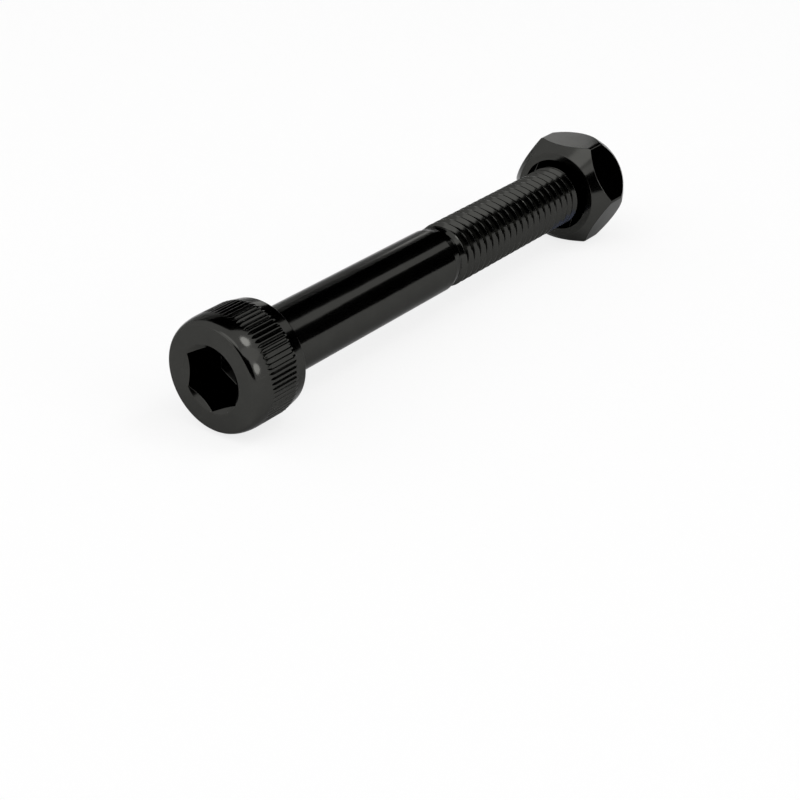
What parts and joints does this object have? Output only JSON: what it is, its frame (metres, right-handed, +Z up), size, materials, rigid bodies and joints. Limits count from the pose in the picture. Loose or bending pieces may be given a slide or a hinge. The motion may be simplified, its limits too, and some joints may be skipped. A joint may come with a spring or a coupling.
{
  "type": "socket head cap screw with lock nut",
  "caption": "Hexagon socket head cap screw with knurled head, plain shank and metric thread, with a nylon insert lock nut run on to its end.",
  "frame": {"origin": "centre of the footprint on the surface that the fastener lies on", "axes": "+X along the screw from its head to its threaded end, +Z up from the surface"},
  "size_m": [0.0562, 0.0114, 0.0101],
  "materials": {
    "black_oxide_screw": "satin",
    "black_oxide_nut": "satin",
    "blue_nylon": "satin"
  },
  "bodies": {
    "screw": {"screw": "black_oxide_screw"},
    "insert": {"nylon_insert": "blue_nylon"},
    "nut": {"nut": "black_oxide_nut"}
  },
  "joints": [
    {"name": "nut_travel", "type": "slide", "parent": "screw", "child": "insert", "axis": [1, 0, 0], "range_m": [-0.019, 0.004]},
    {"name": "nut_turn", "type": "hinge", "parent": "insert", "child": "nut", "pos_m": [0.0223, 0, 0.00505], "axis": [1, 0, 0], "range_deg": [-6841, 1441]}
  ],
  "couplings": [
    {"joint": "nut_turn", "follows": "nut_travel", "rad_per_m": 6283.2}
  ]
}
